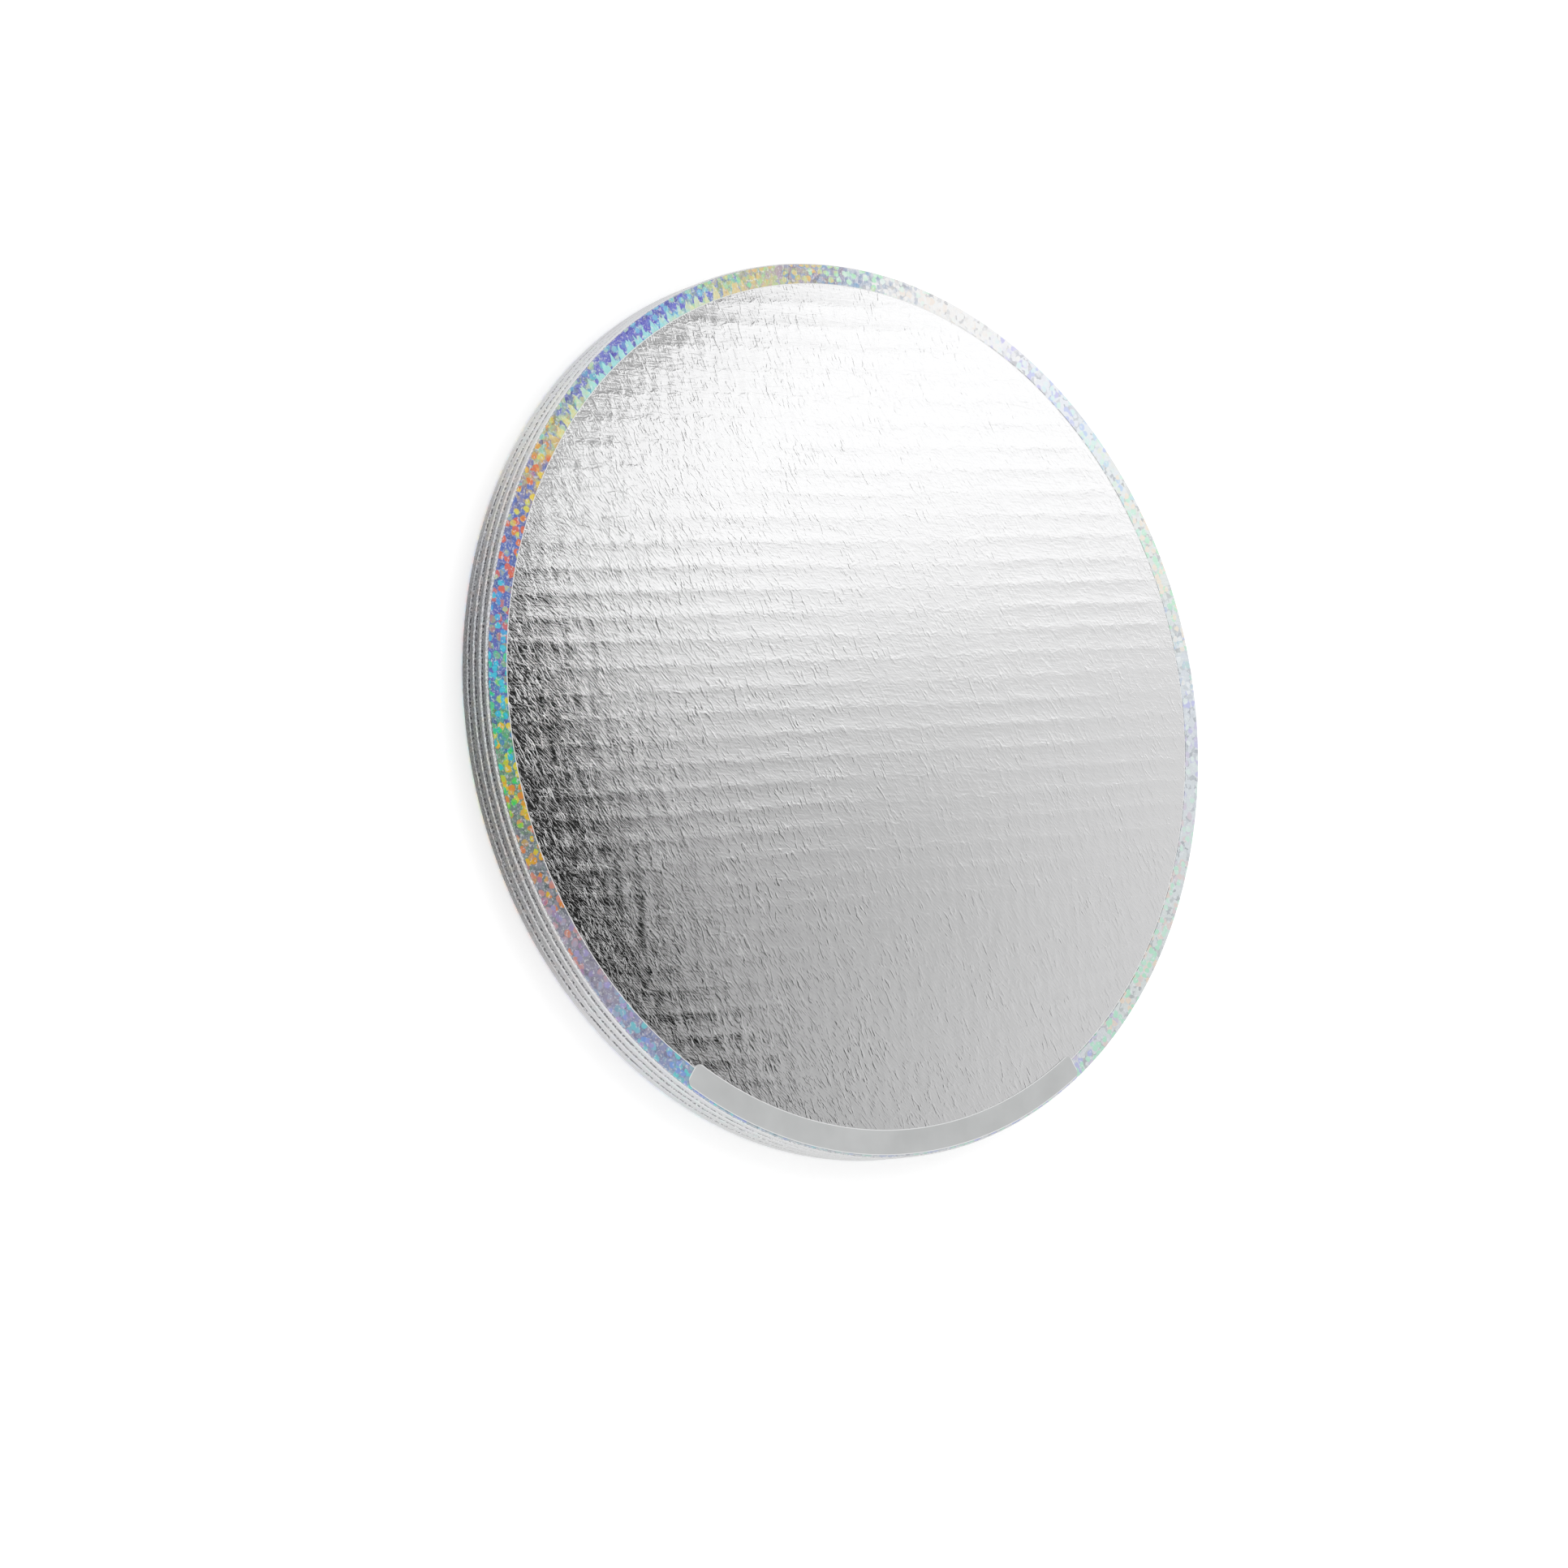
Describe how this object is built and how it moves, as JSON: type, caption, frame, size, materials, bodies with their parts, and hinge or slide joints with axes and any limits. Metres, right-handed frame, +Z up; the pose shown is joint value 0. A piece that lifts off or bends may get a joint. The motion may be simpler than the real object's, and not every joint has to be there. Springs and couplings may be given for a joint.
{
  "type": "round cake board",
  "caption": "Round corrugated cake drum with a crinkled silver foil face, a shiny turned-over foil rim and a blank label strip, for carrying a cake.",
  "frame": {"origin": "centre of the underside, at the middle of the round board", "axes": "+Z up out of the foil face, +X along the flutes of the board, the label strip towards -Y"},
  "size_m": [0.3048, 0.3048, 0.0161],
  "materials": {
    "backing_paper": "matt off-white backing paper",
    "corrugated_board": "brown corrugated board",
    "rainbow_foil": "glossy silver foil paper with a rainbow shimmer, pleated over the rim",
    "silver_foil": "crinkled silver foil paper with soft lines from the flutes",
    "label_film": "pale grey satin film, blank"
  },
  "bodies": {
    "root": {"back_disc": "backing_paper", "core_ply_1": "corrugated_board", "core_ply_2": "corrugated_board", "core_ply_3": "corrugated_board", "core_ply_4": "corrugated_board", "edge_wrap": "rainbow_foil", "face_disc": "silver_foil", "label_strip": "label_film"}
  },
  "joints": []
}
